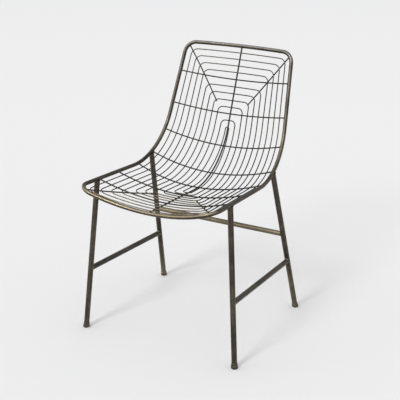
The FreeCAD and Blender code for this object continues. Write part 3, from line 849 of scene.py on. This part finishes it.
class CHAIR_OT_rim(bpy.types.Operator):
    """Bend the round bar that runs all the way round the shell"""

    bl_idname = "chair.rim"
    bl_label = "Rim"

    def execute(self, context):
        sizes = context.scene.chair_shell
        piece = Piece(RIM_RUB_AND_SHEEN)
        points = Shell(sizes).rim.ring(BAR_STEP, FINE_TURN)
        piece.tube(points, sizes.rim_dia / 2, BAR_SIDES, closed=True)
        piece.finish("rim_bar", bar_finish(context.scene), BAR_SLOT, "rim")
        return {"FINISHED"}


class CHAIR_OT_loops(bpy.types.Operator):
    """Bend the closed wires that nest inside the rim"""

    bl_idname = "chair.loops"
    bl_label = "Loops"

    def execute(self, context):
        sizes = context.scene.chair_shell
        for number, loop in enumerate(Shell(sizes).loops, start=1):
            piece = Piece(LOOP_RUB_AND_SHEEN)
            piece.tube(loop.ring(WIRE_STEP, FINE_TURN), sizes.loop_dia / 2, WIRE_SIDES, closed=True)
            node = f"loop_wire_{number:02d}"
            piece.finish(f"bent_{node}", wire_finish(context.scene), WIRE_SLOT, node)
        return {"FINISHED"}


class CHAIR_OT_cross_wires(bpy.types.Operator):
    """Lay the seven wires that cross the loops on the sitter's side"""

    bl_idname = "chair.cross_wires"
    bl_label = "Cross wires"

    def execute(self, context):
        sizes = context.scene.chair_shell
        for name, points in Shell(sizes).cross_wires():
            piece = Piece(CROSS_RUB_AND_SHEEN)
            piece.tube(points, sizes.cross_dia / 2, WIRE_SIDES)
            place, _, rest = name.partition("_")
            node = f"{place}_cross_wire_{rest}" if rest else f"{place}_cross_wire"
            piece.finish(f"round_{node}", wire_finish(context.scene), WIRE_SLOT, node)
        return {"FINISHED"}


class CHAIR_OT_spine(bpy.types.Operator):
    """Lay the thicker wire that runs up the middle behind the loops"""

    bl_idname = "chair.spine"
    bl_label = "Spine wire"

    def execute(self, context):
        sizes = context.scene.chair_shell
        piece = Piece(SPINE_RUB_AND_SHEEN)
        points = Shell(sizes).spine().points(WIRE_STEP, FINE_TURN)
        piece.tube(points, sizes.spine_dia / 2, WIRE_SIDES)
        piece.finish("round_spine_wire", wire_finish(context.scene), WIRE_SLOT, "spine_wire")
        return {"FINISHED"}


class CHAIR_OT_corner_wires(bpy.types.Operator):
    """Lay the four diagonal wires behind the loops' corners"""

    bl_idname = "chair.corner_wires"
    bl_label = "Corner wires"

    def execute(self, context):
        sizes = context.scene.chair_shell
        for name, points in Shell(sizes).corner_wires():
            piece = Piece(CORNER_RUB_AND_SHEEN)
            piece.tube(points, sizes.corner_dia / 2, WIRE_SIDES)
            end, side = name.split("_")
            node = f"{end}_corner_wire_{side}"
            piece.finish(f"round_{node}", wire_finish(context.scene), WIRE_SLOT, node)
        return {"FINISHED"}


class Leg:
    """One leg's axis, from its foot on the floor to the side rail's centre."""

    def __init__(self, scene, end, side, sign):
        shell, legs = scene.chair_shell, scene.chair_legs
        on_rail = {"front": shell.seat_front_on_rail, "rear": shell.bend_on_rail}[end]
        rail, heading = Shell(shell).rail.track.at(on_rail)
        foot_x, foot_y = getattr(legs, f"{end}_foot_x"), getattr(legs, f"{end}_foot_y")
        self.name = f"{end}_{side}"
        self.foot = Vector((sign * foot_x, foot_y, 0))
        self.rail = Vector((sign * rail.x, rail.y, rail.z))
        self.rail_heading = Vector((sign * heading.x, heading.y, heading.z))
        self.up = (self.rail - self.foot).normalized()
        least = shell.rim_dia / 2 - legs.cope
        self.top = Joint(
            self.rail, -self.up, self.rail, self.rail_heading, shell.rim_dia / 2, least
        )

    def at_height(self, height):
        return self.foot + self.up * (height / self.up.z)


def all_legs(scene):
    return {
        f"{end}_{side}": Leg(scene, end, side, sign)
        for end in ("front", "rear")
        for side, sign in SIDES
    }


class CHAIR_OT_legs(bpy.types.Operator):
    """Set up the four splayed tubes, each with a flared shoe round its foot"""

    bl_idname = "chair.legs"
    bl_label = "Legs"

    FLARE_STEPS = 10
    TUBE_STEPS = 24
    EDGE = 0.0004

    def execute(self, context):
        for leg in all_legs(context.scene).values():
            self.make(context.scene, leg)
        return {"FINISHED"}

    def flare(self, legs):
        """Radius and height up the leg of each ring of the shoe, from its foot to its lip."""
        foot, lip = legs.shoe_foot_dia / 2, legs.leg_dia / 2 + legs.shoe_wall
        base, top = legs.glide_thickness, legs.shoe_length
        chord = Vector((lip - foot, top - base))
        half = chord.length / 2
        away = Vector((chord.y, -chord.x)).normalized()
        sag = math.sqrt(legs.shoe_flare**2 - half**2)
        centre = Vector(((foot + lip) / 2, (base + top) / 2)) + away * sag
        sweep = 2 * math.asin(half / legs.shoe_flare)
        start = math.atan2(base - centre.y, foot - centre.x)
        for step in range(self.FLARE_STEPS + 1):
            turn = start - sweep * step / self.FLARE_STEPS
            yield (
                centre.x + legs.shoe_flare * math.cos(turn),
                centre.y + legs.shoe_flare * math.sin(turn),
            )

    def make(self, scene, leg):
        legs = scene.chair_legs
        piece = Piece(LEG_RUB_AND_SHEEN)
        rings = []
        base = legs.glide_thickness
        for radius in (legs.shoe_foot_dia / 2 - self.EDGE, legs.shoe_foot_dia / 2):
            lift = 0 if not rings else self.EDGE
            points = []
            for radial in radials(leg.up, BAR_SIDES, radius):
                start = leg.foot + radial
                points.append(start + leg.up * ((base + lift - start.z) / leg.up.z))
            rings.append(piece.ring(points))
        for radius, height in list(self.flare(legs))[1:]:
            rings.append(self.level_ring(piece, leg, radius, height + base))
        lip = legs.shoe_length + base
        tube = legs.leg_dia / 2
        rings.append(self.level_ring(piece, leg, tube + legs.shoe_wall / 2, lip + self.EDGE))
        rings.append(self.level_ring(piece, leg, tube, lip + self.EDGE))
        end = (leg.rail - leg.foot).length - scene.chair_shell.rim_dia
        for step in range(self.TUBE_STEPS + 1):
            height = lip + 2 * self.EDGE + (end - lip) * step / self.TUBE_STEPS
            rings.append(self.level_ring(piece, leg, tube, height))
        top = [leg.top.land(radial) for radial in radials(leg.up, BAR_SIDES, tube)]
        rings.append(piece.ring(top))
        piece.skin(rings)
        piece.finish(f"shod_{leg.name}_leg", bar_finish(scene), BAR_SLOT, f"{leg.name}_leg")

    @staticmethod
    def level_ring(piece, leg, radius, height):
        centre = leg.foot + leg.up * height
        return piece.ring([centre + radial for radial in radials(leg.up, BAR_SIDES, radius)])


def stretcher_ends(scene):
    """Each stretcher's name, and its two ends as a point on a leg's axis and that leg."""
    legs = all_legs(scene)
    sizes = scene.chair_legs
    for side, _ in SIDES:
        front, rear = legs[f"front_{side}"], legs[f"rear_{side}"]
        front_end = front.at_height(sizes.side_front_z), front
        yield f"side_stretcher_{side}", (front_end, (rear.at_height(sizes.side_rear_z), rear))
    rear_pair = legs["rear_left"], legs["rear_right"]
    yield "rear_stretcher", tuple((leg.at_height(sizes.rear_z), leg) for leg in rear_pair)


def stretcher_joints(scene, ends):
    """The joint at each end of a stretcher."""
    (start, first), (stop, second) = ends
    radius = scene.chair_legs.leg_dia / 2
    away = (stop - start).normalized()
    return Joint(start, away, start, first.up, radius), Joint(stop, -away, stop, second.up, radius)


class CHAIR_OT_stretchers(bpy.types.Operator):
    """Fit the two side bars and the rear bar between the legs"""

    bl_idname = "chair.stretchers"
    bl_label = "Stretchers"

    STEPS = 22

    def execute(self, context):
        scene = context.scene
        radius = scene.chair_legs.stretcher_dia / 2
        inset = scene.chair_legs.leg_dia
        for name, ends in stretcher_ends(scene):
            first, second = stretcher_joints(scene, ends)
            length = (ends[1][0] - ends[0][0]).length
            piece = Piece(REAR_RUB_AND_SHEEN if name == "rear_stretcher" else STRETCHER_RUB_AND_SHEEN)
            around = radials(first.away, BAR_SIDES, radius)
            rings = [piece.ring([first.land(radial) for radial in around])]
            for step in range(self.STEPS + 1):
                place = inset + (length - 2 * inset) * step / self.STEPS
                centre = ends[0][0] + first.away * place
                rings.append(piece.ring([centre + radial for radial in around]))
            rings.append(piece.ring([second.land(radial) for radial in around]))
            piece.skin(rings)
            piece.finish(f"round_{name}", bar_finish(scene), BAR_SLOT, name)
        return {"FINISHED"}


class CHAIR_OT_glides(bpy.types.Operator):
    """Put a nylon glide with a rounded edge under each shoe"""

    bl_idname = "chair.glides"
    bl_label = "Glides"

    ROUND_STEPS = 5

    def execute(self, context):
        scene = context.scene
        sizes = scene.chair_legs
        for leg in all_legs(scene).values():
            piece = Piece()
            rings = []
            for step in range(self.ROUND_STEPS + 1):
                turn = math.pi / 2 * step / self.ROUND_STEPS
                inset = sizes.glide_round * (1 - math.sin(turn))
                height = sizes.glide_round * (1 - math.cos(turn))
                rings.append(self.disc(piece, leg, sizes.glide_dia / 2 - inset, height))
            rings.append(self.disc(piece, leg, sizes.glide_dia / 2, sizes.glide_thickness))
            piece.skin(rings)
            node = f"{leg.name}_glide"
            piece.finish(f"moulded_{node}", nylon(scene.chair_finishes), GLIDE_SLOT, node)
        return {"FINISHED"}

    @staticmethod
    def disc(piece, leg, radius, height):
        centre = leg.at_height(height)
        return piece.ring([centre + radial for radial in radials(UP, BAR_SIDES, radius)])


class CHAIR_OT_frame_welds(bpy.types.Operator):
    """Lay the beads that join the legs to the rim and the stretchers to the legs"""

    bl_idname = "chair.frame_welds"
    bl_label = "Frame welds"

    def execute(self, context):
        scene = context.scene
        sizes, welds = scene.chair_legs, scene.chair_welds
        piece = Piece(LEG_RUB_AND_SHEEN)
        for leg in all_legs(scene).values():
            add_bead(piece, leg.top, sizes.leg_dia / 2, welds.leg_bead)
        for _, ends in stretcher_ends(scene):
            for joint in stretcher_joints(scene, ends):
                add_bead(piece, joint, sizes.stretcher_dia / 2, welds.stretcher_bead)
        piece.finish("frame_welds", bar_finish(scene), BAR_SLOT)
        return {"FINISHED"}


class CHAIR_OT_wire_welds(bpy.types.Operator):
    """Lay the beads at the wires' ends on the rim, and the spot welds where wires cross"""

    bl_idname = "chair.wire_welds"
    bl_label = "Wire welds"

    CROSS_STEP = 0.002
    NUGGET_RINGS, NUGGET_SIDES = 5, 10
    # A nugget's height, as a share of its width.
    NUGGET_SQUASH = 0.8
    BEAD_SIDES = 16

    def execute(self, context):
        scene = context.scene
        sizes, welds = scene.chair_shell, scene.chair_welds
        shell = Shell(sizes)
        piece = Piece(CROSS_RUB_AND_SHEEN)
        self.lay_beads(piece, shell, welds.wire_bead)
        across = [(points, sizes.cross_dia) for _, points in shell.cross_wires()]
        across += [(points, sizes.corner_dia) for _, points in shell.corner_wires()]
        across.append((shell.spine().points(self.CROSS_STEP, FINE_TURN), sizes.spine_dia))
        for loop in shell.loops:
            ring = loop.ring(self.CROSS_STEP, FINE_TURN)
            for points, dia in across:
                for low, high in self.crossings(ring, points, shell.layer(dia)):
                    self.add_nugget(piece, low, high, welds.crossing_nugget)
        piece.finish("wire_welds", wire_finish(scene), WIRE_SLOT)
        return {"FINISHED"}

    def lay_beads(self, piece, shell, bead):
        sizes = shell.sizes
        rim = shell.rim.ring(BAR_STEP, FINE_TURN)
        ends = []
        for _, points in shell.cross_wires():
            ends += [(points, sizes.cross_dia), (points[::-1], sizes.cross_dia)]
        for _, points in shell.corner_wires():
            ends.append((points, sizes.corner_dia))
        spine = shell.spine().points(WIRE_STEP, FINE_TURN)
        ends += [(spine, sizes.spine_dia), (spine[::-1], sizes.spine_dia)]
        for points, dia in ends:
            at, heading = self.nearest(rim, points[0])
            joint = Joint(points[0], points[1] - points[0], at, heading, sizes.rim_dia / 2, dia / 4)
            add_bead(piece, joint, dia / 2, bead, self.BEAD_SIDES)

    def crossings(self, ring, points, apart):
        """Where a wire passes a loop at the distance of their layers, as a point on each."""
        tree = kdtree.KDTree(len(ring))
        for index, point in enumerate(ring):
            tree.insert(point, index)
        tree.balance()
        fine = []
        for start, end in zip(points, points[1:]):
            parts = math.ceil((end - start).length / self.CROSS_STEP)
            fine += [start.lerp(end, part / parts) for part in range(parts)]
        fine.append(points[-1])
        near = [tree.find(point) for point in fine]
        for i in range(1, len(fine) - 1):
            _, index, gap = near[i]
            if gap > apart + self.CROSS_STEP or gap > near[i - 1][2] or gap >= near[i + 1][2]:
                continue
            sides = ring[index - 1], ring[(index + 1) % len(ring)]
            yield intersect_line_line(*sides, fine[i - 1], fine[i + 1])

    def add_nugget(self, piece, low, high, size):
        """A small drop of fused metal between two crossing wires."""
        axis = (high - low).normalized()
        middle = (low + high) / 2
        rings = []
        for step in range(self.NUGGET_RINGS):
            turn = math.pi * (step + 0.5) / self.NUGGET_RINGS
            centre = middle - axis * size * self.NUGGET_SQUASH * math.cos(turn)
            around = radials(axis, self.NUGGET_SIDES, size * math.sin(turn))
            rings.append(piece.ring([centre + radial for radial in around]))
        piece.skin(rings)

    @staticmethod
    def nearest(ring, point):
        """The point of a closed ring nearest to a point, and the ring's heading there."""
        best = None
        for start, end in zip(ring, ring[1:] + ring[:1]):
            span = end - start
            share = max(0, min(1, (point - start).dot(span) / span.length_squared))
            at = start + span * share
            if best is None or (at - point).length < best[0]:
                best = ((at - point).length, at, span.normalized())
        return best[1:]


class CHAIR_OT_stage(bpy.types.Operator):
    """Set the floor, the broad lamps, the pale background and the camera"""

    bl_idname = "chair.stage"
    bl_label = "Stage"

    FLOOR_RADIUS = 30.0
    FLOOR_SIDES = 96
    FADE_START, FADE_END = 2.5, 7.0
    LAMP_DISTANCE = 3.0
    SENSOR = 36

    def execute(self, context):
        scene = context.scene
        settings = scene.chair_stage
        self.make_floor(settings)
        self.make_world(scene, settings)
        self.make_lamps(settings)
        self.make_camera(scene, settings)
        scene.view_settings.view_transform = "Standard"
        return {"FINISHED"}

    def make_floor(self, settings):
        """A wide round floor whose far part has the background's own colour."""
        mesh = bmesh.new()
        bmesh.ops.create_circle(
            mesh, cap_ends=True, segments=self.FLOOR_SIDES, radius=self.FLOOR_RADIUS
        )
        data = bpy.data.meshes.new("floor")
        mesh.to_mesh(data)
        mesh.free()
        floor = bpy.data.objects.new("floor", data)
        bpy.context.scene.collection.objects.link(floor)
        material, tree, output = new_material("pale_floor")
        place = Socket.node(tree, "ShaderNodeTexCoord", output="Object")
        far = Socket.node(
            tree, "ShaderNodeVectorMath", {"operation": "LENGTH"}, output="Value", Vector=place
        )
        fade = ((far - self.FADE_START) * (1 / (self.FADE_END - self.FADE_START))).clamped()
        lit = Socket.node(
            tree, "ShaderNodeBsdfPrincipled",
            Base_Color=(*settings.floor, 1), Roughness=0.9, Specular_IOR_Level=0.1,
        )
        glow = Socket.node(
            tree, "ShaderNodeEmission", Color=(*settings.background, 1), Strength=1.0
        )
        surface = Socket.node(
            tree, "ShaderNodeMixShader", Fac=fade, Shader=lit, Shader_001=glow
        )
        tree.links.new(surface.socket, output.inputs["Surface"])
        data.materials.append(material)
        floor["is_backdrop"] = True

    @staticmethod
    def make_world(scene, settings):
        """The background's colour for what sees it, and a quieter light for what it lights."""
        world = bpy.data.worlds.new("studio")
        scene.world = world
        world.use_nodes = True
        tree = world.node_tree
        tree.nodes.clear()
        output = tree.nodes.new("ShaderNodeOutputWorld")
        camera = Socket.node(tree, "ShaderNodeLightPath", output="Is Camera Ray")
        glossy = Socket.node(tree, "ShaderNodeLightPath", output="Is Glossy Ray")
        through = Socket.node(tree, "ShaderNodeLightPath", output="Is Transmission Ray")
        seen = (camera + glossy + through).clamped()
        colour = mixed(tree, seen, [settings.ambient] * 3, settings.background)
        light = Socket.node(tree, "ShaderNodeBackground", Color=colour, Strength=1.0)
        tree.links.new(light.socket, output.inputs["Surface"])

    def make_lamps(self, settings):
        """Broad lights, far enough off to light the whole floor alike."""
        for name in ("key", "side"):
            data = bpy.data.lights.new(f"{name}_light", "SUN")
            data.energy = getattr(settings, f"{name}_strength")
            data.angle = getattr(settings, f"{name}_spread")
            lamp = bpy.data.objects.new(f"{name}_light", data)
            bpy.context.scene.collection.objects.link(lamp)
            azimuth = getattr(settings, f"{name}_azimuth")
            away = bearing(azimuth, getattr(settings, f"{name}_elevation"))
            lamp.location = away * self.LAMP_DISTANCE
            lamp.rotation_mode = "QUATERNION"
            lamp.rotation_quaternion = away.to_track_quat("Z", "Y")

    def make_camera(self, scene, settings):
        data = bpy.data.cameras.new("camera")
        data.lens = settings.lens
        data.sensor_width = self.SENSOR
        data.sensor_fit = "HORIZONTAL"
        camera = bpy.data.objects.new("camera", data)
        scene.collection.objects.link(camera)
        target = Vector((0, settings.target_y, settings.target_z))
        back = bearing(settings.azimuth, settings.elevation)
        camera.location = target + back * settings.distance
        camera.rotation_mode = "QUATERNION"
        camera.rotation_quaternion = (-back).to_track_quat("-Z", "Y")
        scene.camera = camera


OPERATORS = (
    CHAIR_OT_rim,
    CHAIR_OT_loops,
    CHAIR_OT_cross_wires,
    CHAIR_OT_spine,
    CHAIR_OT_corner_wires,
    CHAIR_OT_wire_welds,
    CHAIR_OT_legs,
    CHAIR_OT_stretchers,
    CHAIR_OT_frame_welds,
    CHAIR_OT_glides,
    CHAIR_OT_stage,
)


class CHAIR_PT_panel(bpy.types.Panel):
    """The chair's operators and sizes in the 3D view's sidebar"""

    bl_idname = "CHAIR_PT_panel"
    bl_label = "Wire Side Chair"
    bl_space_type = "VIEW_3D"
    bl_region_type = "UI"
    bl_category = "Chair"

    def draw(self, context):
        for operator in OPERATORS:
            self.layout.operator(operator.bl_idname)
        for group in GROUPS:
            settings = getattr(context.scene, group)
            box = self.layout.box()
            for name in settings.__annotations__:
                box.prop(settings, name)


GROUPS = {
    "chair_shell": ShellSizes,
    "chair_legs": LegSizes,
    "chair_welds": WeldSizes,
    "chair_finishes": Finishes,
    "chair_stage": StageSettings,
}
CLASSES = (*GROUPS.values(), *OPERATORS, CHAIR_PT_panel)


def register():
    for item in CLASSES:
        bpy.utils.register_class(item)
    for name, group in GROUPS.items():
        setattr(bpy.types.Scene, name, bpy.props.PointerProperty(type=group))


def unregister():
    for name in GROUPS:
        delattr(bpy.types.Scene, name)
    for item in reversed(CLASSES):
        bpy.utils.unregister_class(item)


def main():
    register()
    for operator in OPERATORS:
        group, name = operator.bl_idname.split(".")
        getattr(getattr(bpy.ops, group), name)()
    boxes = {"cad": CAD_BOX, "visual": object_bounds()}
    {name: [list(corner) for corner in box] for name, box in boxes.items()}


if __name__ == "__main__":
    main()
